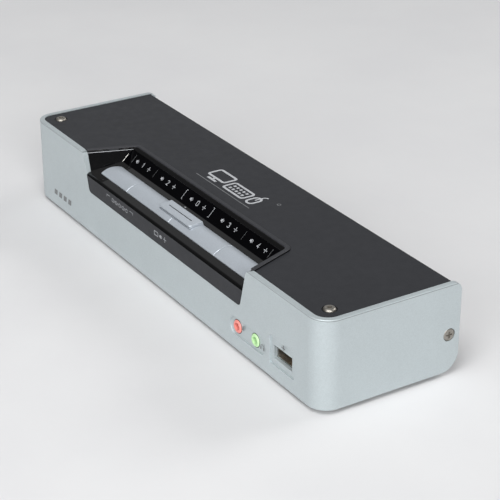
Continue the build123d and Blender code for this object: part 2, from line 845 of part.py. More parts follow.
def make_capacitors():
    can = Cylinder(can_diameter / 2, can_height, align=UP)
    can = fillet(can.edges().group_by(Axis.Z)[-1], can_round)
    return Compound([Pos(x, board_front + small_row, board_top) * can for x in can_places])


def make_crystal():
    body = Box(*crystal_size, align=UP)
    body = fillet(body.edges().filter_by(Axis.Z), crystal_size[1] / 2 - fit)
    return Pos(crystal_place, board_front + small_row, board_top) * body


def make_beeper():
    body = Cylinder(beeper_diameter / 2, beeper_height, align=UP)
    body -= Pos(0, 0, beeper_height) * Cylinder(beeper_hole / 2, beeper_height)
    return Pos(beeper_place, board_front + small_row, board_top) * body


# ---- Rear ports ----
def dvi_height():
    return board_top + dvi_body[2] / 2


def dvi_rim_space(grow, reach):
    wide, tall = dvi_rim
    rim = RectangleRounded(wide + 2 * grow, tall + 2 * grow, dvi_rim_round + grow)
    return extrude(Plane.XZ * rim, -reach)


def dvi_screw_hole(radius, deep):
    return Rot(90, 0, 0) * Cylinder(radius, 2 * deep)


def make_dvi_shells():
    """Metal faces of the DVI sockets: a flange behind the panel and a rim through it."""
    wide, deep, tall = dvi_body
    back = -sheet - dvi_flange
    shell = box_between((-wide / 2, back, -tall / 2), (wide / 2, -sheet, tall / 2))
    shell += Pos(0, -sheet, 0) * dvi_rim_space(0, sheet + dvi_rim_reach)
    shell -= Pos(0, back - 1, 0) * dvi_rim_space(-dvi_metal, dvi_rim_reach - back + 2)
    for side in (-1, 1):
        hole = dvi_screw_hole(screw_shank / 2 + fit, 2 * dvi_flange)
        shell -= Pos(side * dvi_screw_pitch / 2, -sheet, 0) * hole
    return Compound([Pos(x, panel_y, dvi_height()) * shell for x in dvi_places])


def make_dvi_bodies():
    """Insulators of the DVI sockets, with the pin holes and the cross-shaped earth slot."""
    wide, deep, tall = dvi_body
    front = -sheet - dvi_flange
    face = dvi_rim_reach - dvi_insulator_drop
    block = box_between((-wide / 2, front - deep, -tall / 2), (wide / 2, front, tall / 2))
    block += Pos(0, front - 1, 0) * dvi_rim_space(-dvi_metal - dvi_insulator_gap, face - front + 1)
    for column in range(8):
        for row in (-1, 0, 1):
            x = dvi_pin_first + column * dvi_pin_pitch
            block -= Pos(x, face, row * dvi_pin_pitch) * Box(dvi_pin_hole, 2 * dvi_hole_depth, dvi_pin_hole)
    across, up, thick = dvi_earth_slot
    slot = Box(across, 2 * dvi_hole_depth, thick) + Box(thick, 2 * dvi_hole_depth, up)
    block -= Pos(dvi_earth_place, face, 0) * slot
    for side in (-1, 1):
        block -= Pos(side * dvi_screw_pitch / 2, front, 0) * dvi_screw_hole(screw_shank / 2, dvi_screw_shank)
    return Compound([Pos(x, panel_y, dvi_height()) * block for x in dvi_places])


def make_dvi_jackscrews():
    """Hexagonal standoffs beside each DVI socket, threaded through the panel into its body."""
    outline = RegularPolygon(dvi_screw_flats / 2, 6, major_radius=False)
    screw = extrude(Plane.XZ * outline, -dvi_screw_reach)
    screw += Pos(0, fit, 0) * rod_y(screw_shank - 2 * fit, dvi_screw_shank, BACK)
    screw -= Pos(0, dvi_screw_reach, 0) * dvi_screw_hole(dvi_screw_bore / 2, dvi_screw_bore_depth)
    places = [x + side * dvi_screw_pitch / 2 for x in dvi_places for side in (-1, 1)]
    return Compound([Pos(x, panel_y, dvi_height()) * screw for x in places])


def port_height(size_z):
    return port_board_top + size_z / 2


def usb_b_places():
    return [x + usb_b_shift for x in dvi_places[:4]]


def make_usb_b_shells():
    """Square sockets with two sloped upper corners, one for each computer."""
    wide, deep, tall = usb_b_shell
    across, down = usb_b_slants
    outline = Polygon(
        (-wide / 2, -tall / 2), (wide / 2, -tall / 2), (wide / 2, tall / 2 - down),
        (wide / 2 - across, tall / 2), (-wide / 2 + across, tall / 2), (-wide / 2, tall / 2 - down),
        align=None,
    )
    inner = offset(outline, -usb_b_metal - usb_b_lining, kind=Kind.INTERSECTION)
    shell = extrude(Plane.XZ * outline, deep)
    shell -= Pos(0, 1, 0) * extrude(Plane.XZ * inner, deep - usb_b_back + 1)
    return Compound([Pos(x, panel_y + port_reach, port_height(tall)) * shell for x in usb_b_places()])


def make_usb_b_blocks():
    wide, deep, tall = usb_b_shell
    block = Box(*usb_b_block, align=AHEAD)
    start = panel_y + port_reach - deep + usb_b_back
    return Compound([Pos(x, start, port_height(tall)) * block for x in usb_b_places()])


def rear_jacks(places):
    height = port_height(rear_jack_body[2])
    return Compound(
        [make_jack(x, height, rear_jack_body, panel_y + port_reach, panel_y - sheet - fit) for x in places]
    )


def rear_mic_places():
    return [x + rear_mic_shift for x in dvi_places[:4]] + [console_jack_places[0]]


def rear_speaker_places():
    return [x + rear_speaker_shift for x in dvi_places[:4]] + [console_jack_places[1]]


def console_usb_places():
    return [dvi_places[4] + shift for shift in console_usb_shifts]


def make_console_usb_shells():
    height = port_height(usb_shell[2])
    return Compound(
        [usb_box(x, height, panel_y + port_reach, usb_shell, 1) for x in console_usb_places()]
    )


def make_console_usb_tongues():
    height = port_height(usb_shell[2])
    return Compound(
        [usb_tongue_bar(x, height, panel_y + port_reach, usb_shell, 1) for x in console_usb_places()]
    )


def power_height():
    return board_top + power_body[2] / 2


def make_power_jack():
    wide, deep, tall = power_body
    start = panel_y - sheet - fit
    block = box_between(
        (power_place - wide / 2, start - deep, board_top), (power_place + wide / 2, start, board_top + tall)
    )
    block += Pos(power_place, start, power_height()) * rod_y(power_barrel, sheet + fit + port_reach)
    face = panel_y + port_reach
    return block - Pos(power_place, face, power_height()) * rod_y(power_bore, power_bore_depth, BACK)


def make_power_pin():
    pin = rod_y(power_pin, power_bore_depth - power_pin_drop)
    return Pos(power_place, panel_y + port_reach - power_bore_depth, power_height()) * pin


def make_rear_panel():
    half = tray_half - sheet - fit
    panel = box_between((-half, panel_y - sheet, tray_top), (half, panel_y, cover_low))
    panel += box_between((-half, panel_y - panel_foot, tray_top), (half, panel_y, tray_top + sheet))
    for x, y in bottom_screw_places()[2:]:
        panel -= Pos(x, y, tray_top) * Cylinder(screw_shank / 2, 4 * sheet)
    screw_hole = Rot(90, 0, 0) * Cylinder(screw_shank / 2 + fit, 4 * sheet)
    for x in dvi_places:
        panel -= Pos(x, panel_y - 2 * sheet, dvi_height()) * dvi_rim_space(port_gap, 4 * sheet)
        for side in (-1, 1):
            panel -= Pos(x + side * dvi_screw_pitch / 2, panel_y, dvi_height()) * screw_hole
    panel -= socket_holes(usb_b_places(), usb_b_shell)
    panel -= socket_holes(console_usb_places(), usb_shell)
    jack_hole = Rot(90, 0, 0) * Cylinder(jack_diameter / 2 + fit, 4 * sheet)
    for x in rear_mic_places() + rear_speaker_places():
        panel -= Pos(x, panel_y, port_height(rear_jack_body[2])) * jack_hole
    power_hole = Rot(90, 0, 0) * Cylinder(power_barrel / 2 + fit, 4 * sheet)
    return panel - Pos(power_place, panel_y, power_height()) * power_hole


def socket_holes(places, size):
    wide, deep, tall = size
    hole = Box(wide + 2 * port_gap, 4 * sheet, tall + 2 * port_gap)
    return [Pos(x, panel_y, port_height(tall)) * hole for x in places]


# ---- Fasteners ----
def make_cover_screws():
    """Button-head screws with hexagon sockets, down through the cover into its posts."""
    wide, tall = hex_head
    head = Cylinder(wide / 2, tall, align=UP)
    head = fillet(head.edges().group_by(Axis.Z)[-1], tall - hex_head_edge)
    socket = extrude(RegularPolygon(hex_socket / 2, 6, major_radius=False), tall)
    screw = head - Pos(0, 0, tall - hex_socket_depth) * socket
    screw += Cylinder(screw_shank / 2 - fit, cover_screw_reach, align=DOWN)
    seat = cover_top - cover_thickness / 2
    return Compound([Pos(x, y, seat) * screw for x, y in bottom_screw_places()[:2]])


def make_side_screws():
    wide, tall = side_head
    head = Cylinder(wide / 2, tall, align=UP)
    head = fillet(head.edges().group_by(Axis.Z)[-1], tall - side_head_edge)
    screw = head - Pos(0, 0, tall) * cross_cut()
    screw += Cylinder(screw_shank / 2 - fit, wall - tall + fit + sheet, align=DOWN)
    y = back_y - side_screw_back
    seat = half_length - side_head[1]
    return Compound(
        [Pos(side * seat, y, side_screw_height) * Rot(0, side * 90, 0) * screw for side in (-1, 1)]
    )


def make_bottom_screws():
    wide, tall = small_head
    screw = Cylinder(wide / 2, tall, align=DOWN) - Pos(0, 0, -tall) * cross_cut()
    screw += Cylinder(screw_shank / 2 - fit, sheet + bottom_screw_reach, align=UP)
    return Compound([Pos(x, y, tray_low) * screw for x, y in bottom_screw_places()])


def save(shape, name):
    export_step(shape, "parts/" + name + ".step")


os.makedirs("parts", exist_ok=True)
save(make_front_shell(), "front_shell")
save(make_top_cover(), "top_cover")
save(make_base_tray(), "base_tray")
save(make_cover_posts(), "cover_posts")
save(make_rubber_feet(), "rubber_feet")
save(make_collar(), "collar")
save(make_key_deck(), "key_deck")
save(make_display_window(), "display_window")
save(make_front_lip(), "front_lip")

seams = [-far, -key_split, 0.0, key_split, far]
for number in range(4):
    name = "key_" + str(number + 1)
    left = seams[number] + key_seam / 2
    right = seams[number + 1] - key_seam / 2
    save(make_key(name, left, right), name)
save(make_mode_key(), "mode_key")
for name in key_centres:
    save(make_plunger(name), name + "_plunger")
save(make_key_switches(), "key_switches")
save(make_key_board(), "key_board")
save(make_key_board_screws(), "key_board_screws")
save(make_light_pipes(), "light_pipes")
save(make_window_leds(), "window_leds")
save(make_led_board(), "led_board")

save(make_front_jack(mic_place), "front_mic_jack")
save(make_front_jack(phone_place), "front_headphone_jack")
save(make_front_usb_shell(), "front_usb_shell")
save(make_front_usb_tongue(), "front_usb_tongue")

save(make_standoffs(), "board_standoffs")
save(make_main_board(), "main_board")
save(make_board_screws(), "board_screws")
save(make_port_board(), "port_board")
save(make_board_pillars(), "board_pillars")
save(make_board_link(), "board_link")
save(make_switch_chips(), "switch_chips")
save(make_controller_chip(), "controller_chip")
save(make_capacitors(), "capacitors")
save(make_crystal(), "crystal")
save(make_beeper(), "beeper")

save(make_rear_panel(), "rear_panel")
save(make_dvi_shells(), "dvi_shells")
save(make_dvi_bodies(), "dvi_bodies")
save(make_dvi_jackscrews(), "dvi_jackscrews")
save(make_usb_b_shells(), "usb_b_shells")
save(make_usb_b_blocks(), "usb_b_blocks")
save(rear_jacks(rear_mic_places()), "rear_mic_jacks")
save(rear_jacks(rear_speaker_places()), "rear_speaker_jacks")
save(make_console_usb_shells(), "console_usb_shells")
save(make_console_usb_tongues(), "console_usb_tongues")
save(make_power_jack(), "power_jack")
save(make_power_pin(), "power_pin")

save(make_cover_screws(), "cover_screws")
save(make_side_screws(), "side_screws")
save(make_bottom_screws(), "bottom_screws")
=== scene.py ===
"""Looks of the four-port desktop KVM switch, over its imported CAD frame. Metres, Z up."""

import json
import math

import bpy
from mathutils import Matrix, Vector


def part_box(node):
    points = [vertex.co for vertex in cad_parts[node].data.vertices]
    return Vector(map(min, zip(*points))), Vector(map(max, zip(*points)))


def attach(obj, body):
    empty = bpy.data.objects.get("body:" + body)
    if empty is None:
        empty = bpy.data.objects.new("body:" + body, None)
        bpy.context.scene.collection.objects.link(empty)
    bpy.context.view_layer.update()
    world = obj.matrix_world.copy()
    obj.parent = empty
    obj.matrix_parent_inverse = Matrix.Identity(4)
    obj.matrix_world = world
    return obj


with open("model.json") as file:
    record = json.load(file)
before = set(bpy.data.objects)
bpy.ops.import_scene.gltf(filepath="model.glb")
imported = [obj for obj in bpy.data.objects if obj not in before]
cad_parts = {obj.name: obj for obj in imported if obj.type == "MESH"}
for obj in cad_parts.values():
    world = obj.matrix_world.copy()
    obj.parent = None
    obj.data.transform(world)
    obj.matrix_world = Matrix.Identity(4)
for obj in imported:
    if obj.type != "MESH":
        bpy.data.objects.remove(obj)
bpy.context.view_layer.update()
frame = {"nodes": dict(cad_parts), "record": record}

MM = 0.001
FLOOR_SIDE = 14.0

# sizes repeated from the part's source
DECK_TILT = math.radians(12.7)
WINDOW_TILT = math.radians(44.5)
WINDOW_THICKNESS = 1.5 * MM
WINDOW_LENGTH = 8.0 * MM
FIT = 0.1 * MM
DECK_LENGTH = 17.3  # along the slope, in mm like the sizes below
MODE_CENTRE, MODE_LENGTH = 1.3, 29.0
MODE_FRONT, MODE_BACK = 6.95, 14.2  # from the deck's front edge, along the slope
MODE_FRONT_RISE, MODE_BACK_RISE = 3.1, 2.3  # above the deck
MODE_CORNER = 1.5
GROOVE_LENGTH, GROOVE_DEPTH = 21.4, 0.3
MODE_SLOT, MODE_SKIN, MODE_LIP = 0.5, 0.8, 0.35
RECESS_DEPTH = 0.6 * MM
NOSE_RADIUS = 3.075
SHADE_LINE_DROP = 0.62 * MM
USB_FLOOR = 0.4 * MM
CONSOLE_USB = (65.0, 82.0)
TONGUE_HALF = 5.55 * MM
HIGHLIGHT_PAST = 0.9 * MM  # past the window's upper edge
HIGHLIGHT_INWARDS = 0.06  # the painted highlight strips on the end walls stand this far in from the wall, in mm
HIGHLIGHT_Z, HIGHLIGHT_BACK_Y, HIGHLIGHT_FRONT_Y = 43.85, -11.6, -34.6
CHANNEL_HALF = 70.0  # at CHANNEL_BACK_Y and CHANNEL_TOP_Z; the ends flare forwards and upwards
CHANNEL_BACK_Y, CHANNEL_TOP_Z = -12.9, 45.0
FLARE, DRAFT = math.tan(math.radians(20.0)), math.tan(math.radians(14.6))
PORT_GROUPS = (-96.0, -53.0, -10.0, 33.0)  # rear sockets of computers 1 to 4, in mm
BAR_SUNK = 0.05 * MM  # foot of each small strip, below the surface that it stands on
BAR_STEPS = 6
SPRING_SHIFTS = (-3.2 * MM, 3.2 * MM)  # sprung tabs, from the middle of a USB-A socket
SPRING_LENGTH, SPRING_SET_BACK = 5.5 * MM, 1.2 * MM
CONTACT_SHIFTS = (-3.5 * MM, -1.0 * MM, 1.0 * MM, 3.5 * MM)

# printed marks, in mm
PROUD = 0.03
SUNK = 0.02
LEGEND_ROW = 4.2  # up the window from its foot
LEGEND_PLACES = (("1", -53.7), ("2", -28.5), ("0", 0.1), ("3", 28.5), ("4", 53.9))
DIGIT_HALF = (0.78, 1.22)
DIGIT_STROKE = 0.34
SOUND_SHIFT, SOUND_HIGH = -5.9, 2.2
HUB_SHIFT, HUB_HIGH = 5.8, 2.1
DIVIDERS = ((-41.5, 0.08), (41.5, 0.08), (-63.5, 0.16), (63.5, 0.16))  # place, width
DIVIDER_LOW, DIVIDER_HIGH = 2.05, 6.65
BRACKET_HALF, BRACKET_LOW, BRACKET_HIGH = 12.7, 1.7, 6.9
LIP_ROW, LIP_MODE_ROW = 30.0, 29.8  # heights of the lip's two marks
SCAN_BRACKETS = ((-52.8, 1), (-25.9, -1))  # place, and the way it points
SCAN_FIRST, SCAN_PITCH, SCAN_BOXES = -46.6, 3.6, 5
MIC_MARK_X = 75.05
PHONES_MARK = (90.8, 13.2)
FRONT_HUB_MARK = (107.2, 20.6)
FRONT_BARS, FRONT_BAR_FIRST, FRONT_BAR_PITCH = 4, -114.6, 5.4
FRONT_BAR_WIDTH, FRONT_BAR_LEAN = 3.4, 0.7
FRONT_BAR_LOW, FRONT_BAR_HIGH = 8.2, 11.2
COVER_KEY_PITCH, COVER_KEY_HALF = 2.7, 0.75
COVER_MARK_LOW, COVER_MARK_HIGH = 1.7, 9.3
REAR_NUMBER_Z, REAR_NUMBER_SIZE = 25.85, 1.15


# ---------------------------------------------------------------- materials

class Look:
    """One procedural material: adds nodes, and links or sets their inputs."""

    def __init__(self, name):
        self.material = bpy.data.materials.new("look_" + name)
        self.material.use_nodes = True
        self.tree = self.material.node_tree
        self.shader = self.tree.nodes["Principled BSDF"]
        self.place = self.add("ShaderNodeTexCoord").outputs["Object"]

    def add(self, kind, settings=None, **inputs):
        node = self.tree.nodes.new(kind)
        for key, value in (settings or {}).items():
            setattr(node, key, value)
        self.put(node, **inputs)
        return node

    def put(self, node, **inputs):
        """Inputs are named, with _ for a space, or numbered, as in i0."""
        for key, value in inputs.items():
            numbered = key[0] == "i" and key[1:].isdigit()
            socket = node.inputs[int(key[1:]) if numbered else key.replace("_", " ")]
            if isinstance(value, bpy.types.NodeSocket):
                self.tree.links.new(value, socket)
            else:
                socket.default_value = value

    def noise(self, scale, detail=3.0, place=None, roughness=0.55):
        """A value around 0.5 that varies over 1/scale metres."""
        node = self.add("ShaderNodeTexNoise", Vector=place or self.place, Scale=scale,
                        Detail=detail, Roughness=roughness)
        return node.outputs["Fac"]

    def stretched(self, scale):
        return self.add("ShaderNodeMapping", Vector=self.place, Scale=scale).outputs["Vector"]

    def spread(self, value, low, high, start=0.3, end=0.7):
        """value's range start to end, mapped to low to high and held there."""
        node = self.add("ShaderNodeMapRange", {"clamp": True}, Value=value,
                        From_Min=start, From_Max=end, To_Min=low, To_Max=high)
        return node.outputs["Result"]

    def math(self, operation, first, second=0.0):
        node = self.add("ShaderNodeMath", {"operation": operation}, i0=first, i1=second)
        return node.outputs["Value"]

    def mix(self, factor, first, second, blend="MIX"):
        """Colours are given as three numbers or as a socket."""
        def rgba(colour):
            return colour if isinstance(colour, bpy.types.NodeSocket) else (*colour, 1.0)
        node = self.add("ShaderNodeMix", {"data_type": "RGBA", "blend_type": blend},
                        i0=factor, i6=rgba(first), i7=rgba(second))
        return node.outputs[2]

    def bump(self, height, depth, strength=1.0, normal=None):
        node = self.add("ShaderNodeBump", Height=height, Distance=depth, Strength=strength)
        if normal is not None:
            self.put(node, Normal=normal)
        return node.outputs["Normal"]

    def rounded(self, radius):
        """Normals as if each edge were rounded by radius."""
        return self.add("ShaderNodeBevel", {"samples": 4}, Radius=radius).outputs["Normal"]

    def edges(self, radius):
        """1 along convex and concave edges, 0 on flat faces."""
        soft = self.rounded(radius)
        hard = self.add("ShaderNodeNewGeometry").outputs["Normal"]
        dot = self.add("ShaderNodeVectorMath", {"operation": "DOT_PRODUCT"}, i0=soft, i1=hard)
        return self.spread(dot.outputs["Value"], 1.0, 0.0, 0.80, 0.99)

    def finish(self, colour, roughness, normal=None, **constants):
        self.put(self.shader, Base_Color=colour, Roughness=roughness)
        if normal is not None:
            self.put(self.shader, Normal=normal)
        self.put(self.shader, **constants)
        return self.material


def tones(colour, spread):
    """A darker and a lighter tone around a colour."""
    return [tuple(c * k for c in colour) for k in (1 - spread, 1 + spread)]


def painted(name, colour, metallic, roughness, grain, depth, flake, wear_and_highlight):
    """Metallic or plain paint: soft clouds, a fine flake, a little orange peel, and paler edges,
    partly rubbed paint and partly a painted highlight.
    """
    look = Look(name)
    dark, light = tones(colour, 0.025)
    base = look.mix(look.spread(look.noise(28.0, 4.0), 0, 1), dark, light)
    cells = look.add("ShaderNodeTexVoronoi", Vector=look.place, Scale=grain).outputs["Color"]
    cells = look.add("ShaderNodeRGBToBW", Color=cells).outputs["Val"]
    sparkle = look.spread(cells, 1 - flake, 1 + flake, 0.2, 0.8)
    sparkle = look.add("ShaderNodeCombineColor", Red=sparkle, Green=sparkle, Blue=sparkle)
    base = look.mix(1.0, base, sparkle.outputs["Color"], "MULTIPLY")
    # paler edges: partly rubbed paint, partly a painted highlight along every edge
    worn_and_lit_edges = look.spread(look.noise(420.0, 4.0), 0.0, wear_and_highlight)
    worn_and_lit_edges = look.math("MULTIPLY", look.edges(0.4 * MM), worn_and_lit_edges)
    base = look.mix(worn_and_lit_edges, base, tuple(min(1.0, c * 1.5) for c in colour))
    rough = look.spread(look.noise(160.0, 5.0), roughness - 0.035, roughness + 0.035)
    look.finish(base, rough, look.bump(look.noise(grain * 0.6, 2.0), depth), Metallic=metallic)
    return look


def moulded(name, colour, roughness, grain, depth, clouds=0.06, edge=0.0, **constants):
    """Moulded plastic or rubber: faint flow clouds and a spark-eroded grain."""
    look = Look(name)
    dark, light = tones(colour, clouds)
    base = look.mix(look.spread(look.noise(45.0, 5.0), 0, 1), dark, light)
    fine = look.noise(grain, 3.0)
    base = look.mix(look.spread(fine, 0.0, 0.35), base, tuple(c * 0.8 for c in colour))
    rough = look.spread(look.noise(230.0, 4.0), roughness - 0.04, roughness + 0.02)
    rough = look.math("ADD", rough, look.spread(fine, 0.0, 0.03))
    normal = look.bump(fine, depth, normal=look.rounded(edge) if edge else None)
    return look.finish(base, rough, normal, **constants)


def polished(name, colour, roughness, **constants):
    """Polished plastic: a trace of waviness, with faint wipe marks in its gloss."""
    look = Look(name)
    dark, light = tones(colour, 0.2)
    base = look.mix(look.spread(look.noise(60.0, 3.0), 0, 1), dark, light)
    wipe = look.noise(240.0, 6.0, look.stretched((0.35, 2.2, 2.2)), 0.7)
    rough = look.spread(wipe, roughness, roughness + 0.05, 0.45, 0.8)
    waves = look.bump(look.noise(90.0, 1.0), 0.02 * MM, 0.25)
    return look.finish(base, rough, waves, **constants)


def metal(name, colour, roughness, streak, depth, dull=0.25):
    """Bare or plated metal: rolling streaks along X and darker stains."""
    look = Look(name)
    dark, light = tones(colour, 0.07)
    lines = look.noise(streak, 5.0, look.stretched((0.06, 1.0, 1.0)), 0.65)
    base = look.mix(look.spread(lines, 0, 1), dark, light)
    stains = look.spread(look.noise(310.0, 6.0, roughness=0.7), 0.0, dull, 0.5, 0.75)
    base = look.mix(stains, base, tuple(c * 0.45 for c in colour))
    rough = look.math("ADD", look.spread(lines, roughness - 0.05, roughness + 0.05), stains)
    return look.finish(base, rough, look.bump(lines, depth, 0.6), Metallic=1.0)


def ink(name, colour, roughness=0.5):
    """Pad print: uneven cover, with pinholes where the ground shows through."""
    look = Look(name)
    thin = look.spread(look.noise(900.0, 4.0), 0.0, 0.35, 0.55, 0.75)
    base = look.mix(thin, colour, tuple(c * 0.45 for c in colour))
    rough = look.spread(look.noise(1500.0, 2.0), roughness - 0.06, roughness + 0.06)
    return look.finish(base, rough, look.bump(look.noise(2600.0, 2.0), 0.01 * MM, 0.4))


def shell_paint():
    """The shell's silver: painted, with a painted shade line just below its upper edge."""
    look = painted("silver_paint", (0.455, 0.505, 0.52), 0.35, 0.37, 2400.0, 0.010 * MM, 0.035, 0.9)
    height = look.add("ShaderNodeSeparateXYZ", Vector=look.place).outputs["Z"]
    above = look.math("SUBTRACT", height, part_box("front_shell")[1].z - SHADE_LINE_DROP)
    # painted shade: a dark band around the shell just below its upper edge, for the shade on the
    # edge's rounding
    line = look.spread(look.math("ABSOLUTE", above), 0.6, 0.0, 0.10 * MM, 0.24 * MM)
    base = look.shader.inputs["Base Color"].links[0].from_socket
    look.put(look.shader, Base_Color=look.mix(line, base, (0.10, 0.105, 0.11)))
    return look.material


def board():
    """Solder mask over copper: tracks show as slightly raised, paler lines."""
    look = Look("board_green")
    cells = look.add("ShaderNodeTexBrick", {"offset": 0.37}, Vector=look.place, Scale=120.0,
                     Mortar_Size=0.09, Mortar_Smooth=0.1, Brick_Width=0.9, Row_Height=0.22)
    tracks = cells.outputs["Fac"]
    base = look.mix(tracks, (0.014, 0.105, 0.045), (0.028, 0.19, 0.085))
    base = look.mix(look.spread(look.noise(50.0), 0.0, 0.3), base, (0.01, 0.07, 0.035))
    rough = look.spread(look.noise(400.0), 0.22, 0.34)
    return look.finish(base, rough, look.bump(tracks, 0.035 * MM, 0.7))


def collar_look(rim):
    """Matte charcoal band on top, polished black inside and on the slope below it."""
    look = Look("collar")
    height = look.add("ShaderNodeSeparateXYZ", Vector=look.place).outputs["Z"]
    top = look.spread(height, 0.0, 1.0, rim - 0.02 * MM, rim + 0.02 * MM)
    fine = look.noise(3000.0, 3.0)
    charcoal = look.mix(look.spread(fine, 0.0, 1.0), (0.023, 0.024, 0.028), (0.032, 0.033, 0.038))
    base = look.mix(top, (0.0018, 0.0018, 0.002), charcoal)
    rough = look.spread(top, 0.10, 0.46, 0.0, 1.0)
    rough = look.math("ADD", rough, look.spread(look.noise(260.0), 0.0, 0.05))
    grain = look.math("MULTIPLY", fine, top)
    normal = look.bump(grain, 0.02 * MM, 0.5, look.rounded(0.25 * MM))
    return look.finish(base, rough, normal, Specular_IOR_Level=0.35)


def clear():
    look = Look("clear_plastic")
    base = look.mix(look.spread(look.noise(500.0), 0, 1), (0.84, 0.87, 0.88), (0.93, 0.95, 0.95))
    rough = look.spread(look.noise(900.0), 0.04, 0.14)
    normal = look.bump(look.noise(700.0), 0.02 * MM, 0.3)
    return look.finish(base, rough, normal, Transmission_Weight=1.0, IOR=1.49)


LOOKS = {
    "silver_paint": shell_paint(),
    "key_silver": painted("key_silver", (0.47, 0.51, 0.555), 0.35, 0.34, 3200.0, 0.008 * MM,
                          0.04, 0.5).material,
    "charcoal_plastic": moulded("charcoal_plastic", (0.024, 0.025, 0.029), 0.46, 2800.0, 0.03 * MM,
                                Specular_IOR_Level=0.2),
    "gloss_black": polished("gloss_black", (0.0018, 0.0018, 0.002), 0.08, Specular_IOR_Level=0.35),
    "window_smoke": polished("window_smoke", (0.0012, 0.0012, 0.0016), 0.05,
                             Specular_IOR_Level=0.07),
    "black_powder_coat": painted("black_powder_coat", (0.022, 0.022, 0.024), 0.0, 0.52, 1500.0,
                                 0.06 * MM, 0.10, 0.3).material,
    "steel_plate": metal("steel_plate", (0.55, 0.56, 0.58), 0.34, 1800.0, 0.01 * MM),
    "socket_metal": metal("socket_metal", (0.72, 0.70, 0.66), 0.28, 2200.0, 0.008 * MM, 0.2),
    "black_screw": metal("black_screw", (0.045, 0.045, 0.05), 0.38, 2600.0, 0.01 * MM, 0.1),
    "nickel_screw": metal("nickel_screw", (0.37, 0.35, 0.315), 0.44, 2600.0, 0.015 * MM, 0.5),
    "black_plastic": moulded("black_plastic", (0.02, 0.02, 0.021), 0.45, 2400.0, 0.02 * MM),
    "white_plastic": moulded("white_plastic", (0.72, 0.72, 0.68), 0.36, 1800.0, 0.01 * MM, 0.03),
    "clear_plastic": clear(),
    "board_green": board(),
    "mic_pink": moulded("mic_pink", (0.84, 0.27, 0.23), 0.34, 2000.0, 0.008 * MM, 0.05, 0.15 * MM),
    "phone_green": moulded("phone_green", (0.52, 0.80, 0.42), 0.34, 2000.0, 0.008 * MM, 0.05,
                           0.15 * MM),
    "tongue_tan": moulded("tongue_tan", (0.22, 0.14, 0.06), 0.42, 2000.0, 0.01 * MM),
    "foot_rubber": moulded("foot_rubber", (0.028, 0.028, 0.028), 0.72, 1600.0, 0.05 * MM, 0.12),
    "white_ink": ink("white_ink", (0.38, 0.39, 0.41)),
    "silver_ink": ink("silver_ink", (0.45, 0.46, 0.48), 0.42),
    "grey_ink": ink("grey_ink", (0.16, 0.165, 0.17)),
    "gold_contact": metal("gold_contact", (0.83, 0.62, 0.26), 0.22, 2000.0, 0.005 * MM, 0.1),
}

for part in frame["record"]["subparts"]:
    frame["nodes"][part["node"]].material_slots[0].material = LOOKS[part["material_slot"]]
collar_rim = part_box("collar")[1].z - 0.38 * MM
frame["nodes"]["collar"].material_slots[0].material = collar_look(collar_rim)


# ---------------------------------------------------------------- printed marks

def plane(origin, across, up):
    """A drawing plane: x runs across, y up and z out of the surface."""
    across, up = Vector(across).normalized(), Vector(up).normalized()
    turn = Matrix((across, up, across.cross(up))).transposed().to_4x4()
    return Matrix.Translation(Vector(origin)) @ turn


def arc(centre, radius, start, end, steps=10):
    """Points along an arc, in degrees; radius is a number or (across, up)."""
    wide, high = radius if isinstance(radius, tuple) else (radius, radius)
    angles = [math.radians(start + (end - start) * i / steps) for i in range(steps + 1)]
    return [(centre[0] + wide * math.cos(a), centre[1] + high * math.sin(a)) for a in angles]


def rounded_box(left, low, right, high, radius, steps=4):
    corners = ((right, high, 0), (left, high, 90), (left, low, 180), (right, low, 270))
    out = []
    for x, y, start in corners:
        centre = (x - math.copysign(radius, x - (left + right) / 2),
                  y - math.copysign(radius, y - (low + high) / 2))
        out += arc(centre, radius, start, start + 90, steps)
    return out


def stroke_sides(points, width, closed):
    """Mitred left and right edges of a stroke along 2D points."""
    count, sides = len(points), []
    for i, point in enumerate(points):
        here = Vector(point)
        before = Vector(points[i - 1]) if i or closed else None
        after = Vector(points[(i + 1) % count]) if i < count - 1 or closed else None
        into = (here - before).normalized() if before is not None else (after - here).normalized()
        out = (after - here).normalized() if after is not None else into
        tangent = (into + out).normalized()
        normal = Vector((-tangent.y, tangent.x))
        half = width / 2 / max(0.45, tangent.dot(into))
        sides.append((here + normal * half, here - normal * half))
    return sides


class Print:
    """Flat marks on one plane, gathered into one thin closed solid. Drawn in mm."""

    def __init__(self, on, proud=PROUD):
        self.on, self.proud = on, proud
        self.points, self.faces = [], []

    def levels(self, flat):
        """The points of an outline, above and below the surface."""
        first = len(self.points)
        for height in (self.proud, -SUNK):
            self.points += [self.on @ (Vector((x, y, height)) * MM) for x, y in flat]
        return first

    def fill(self, outline):
        """A filled outline, anti-clockwise."""
        first, n = self.levels(outline), len(outline)
        self.faces.append([first + i for i in range(n)])
        self.faces.append([first + n + i for i in reversed(range(n))])
        for i in range(n):
            j = (i + 1) % n
            self.faces.append([first + i, first + n + i, first + n + j, first + j])

    def stroke(self, points, width, closed=False):
        sides = stroke_sides(points, width, closed)
        n = len(sides)
        first = self.levels([side[0] for side in sides] + [side[1] for side in sides])
        left, right, low = first, first + n, 2 * n
        for i in range(n if closed else n - 1):
            j = (i + 1) % n
            self.faces.append([left + i, right + i, right + j, left + j])
            self.faces.append([left + low + j, right + low + j, right + low + i, left + low + i])
            self.faces.append([left + j, left + low + j, left + low + i, left + i])
            self.faces.append([right + i, right + low + i, right + low + j, right + j])
        if not closed:
            self.faces.append([left, left + low, right + low, right])
            self.faces.append([right + n - 1, right + low + n - 1, left + low + n - 1, left + n - 1])

    def dot(self, x, y, radius):
        self.fill(arc((x, y), radius, 0, 337.5, 15))

    def piece(self, name, slot, body="root"):
        mesh_piece(name, self.points, self.faces, slot, body)


